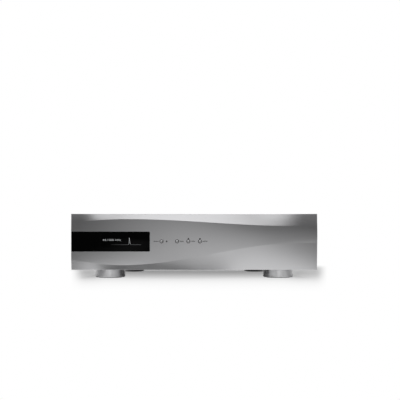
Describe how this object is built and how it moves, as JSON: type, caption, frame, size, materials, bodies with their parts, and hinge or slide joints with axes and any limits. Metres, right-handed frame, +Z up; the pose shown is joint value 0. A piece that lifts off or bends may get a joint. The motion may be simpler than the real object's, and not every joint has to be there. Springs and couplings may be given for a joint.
{
  "type": "audio master clock",
  "caption": "Full-width audio master clock: sculpted aluminium front with display window and round buttons, plain case on turned feet, coaxial sockets and mains inlet at the rear.",
  "frame": {"origin": "on the floor, under the middle of the footprint, sockets included", "axes": "+X to the right seen from the front, +Y to the rear, +Z up; the front panel faces -Y"},
  "size_m": [0.444, 0.435, 0.1175],
  "materials": {
    "satin_aluminium": "fine bead-blasted, clear anodised",
    "inner_aluminium": "plain mill finish",
    "display_glass": "polished black",
    "lens": "dark smoked, polished",
    "circuit_board": "green solder mask",
    "black_plastic": "fine moulded grain",
    "white_plastic": "smooth moulded",
    "rubber": "matt moulded",
    "nickel": "bright nickel plate",
    "gold": "gold flash",
    "steel": "zinc plated",
    "screw_steel": "stainless",
    "winding": "polyester wrap",
    "glass_tube": "clear"
  },
  "bodies": {
    "case": {"base_plate": "inner_aluminium", "board_screws": "screw_steel", "board_standoffs": "steel", "button_switches": "black_plastic", "case_screws": "screw_steel", "clock_board": "circuit_board", "clock_chips": "black_plastic", "clock_output_1": "nickel", "clock_output_2": "nickel", "clock_output_3": "nickel", "clock_output_4": "nickel", "clock_output_5": "nickel", "clock_output_6": "nickel", "clock_output_7": "nickel", "clock_output_8": "nickel", "control_board": "circuit_board", "crystal_ovens": "steel", "display_glass": "display_glass", "display_panel": "lens", "foot_front_left": "satin_aluminium", "foot_front_right": "satin_aluminium", "foot_pads": "rubber", "foot_rear_left": "satin_aluminium", "foot_rear_right": "satin_aluminium", "foot_screws": "screw_steel", "front_fascia": "satin_aluminium", "front_subframe": "inner_aluminium", "inlet_pins": "nickel", "inlet_screws": "screw_steel", "inner_partition": "inner_aluminium", "jack_posts": "steel", "left_side_panel": "satin_aluminium", "mains_inlet": "black_plastic", "mains_transformer": "winding", "power_supply_board": "circuit_board", "rear_panel": "satin_aluminium", "reference_input": "nickel", "regulator_heatsink": "inner_aluminium", "regulators": "black_plastic", "reservoir_capacitors": "black_plastic", "ribbon_cable": "white_plastic", "right_side_panel": "satin_aluminium", "serial_port_insulator": "black_plastic", "serial_port_shell": "nickel", "socket_contacts": "gold", "socket_insulators": "white_plastic", "socket_nuts": "nickel", "status_leds": "lens", "status_lenses": "lens", "top_cover": "satin_aluminium", "transformer_bolt": "steel", "transformer_plate": "steel"},
    "power_button": {"power_button": "satin_aluminium"},
    "menu_button": {"menu_button": "satin_aluminium"},
    "group_one_button": {"group_one_button": "satin_aluminium"},
    "group_two_button": {"group_two_button": "satin_aluminium"},
    "power_rocker": {"power_rocker": "black_plastic"},
    "fuse_drawer": {"fuse_drawer": "black_plastic", "fuse": "glass_tube"}
  },
  "joints": [
    {"name": "power_button_press", "type": "slide", "parent": "case", "child": "power_button", "axis": [0, 1, 0], "range_m": [0, 0.0008], "stiffness_N_per_m": 1200},
    {"name": "menu_button_press", "type": "slide", "parent": "case", "child": "menu_button", "axis": [0, 1, 0], "range_m": [0, 0.0008], "stiffness_N_per_m": 1200},
    {"name": "group_one_button_press", "type": "slide", "parent": "case", "child": "group_one_button", "axis": [0, 1, 0], "range_m": [0, 0.0008], "stiffness_N_per_m": 1200},
    {"name": "group_two_button_press", "type": "slide", "parent": "case", "child": "group_two_button", "axis": [0, 1, 0], "range_m": [0, 0.0008], "stiffness_N_per_m": 1200},
    {"name": "power_rocker_tip", "type": "hinge", "parent": "case", "child": "power_rocker", "pos_m": [-0.143, 0.2045, 0.067], "axis": [-1, 0, 0], "range_deg": [0, 16]},
    {"name": "fuse_drawer_slide", "type": "slide", "parent": "case", "child": "fuse_drawer", "axis": [0, 1, 0], "range_m": [0, 0.02]}
  ]
}
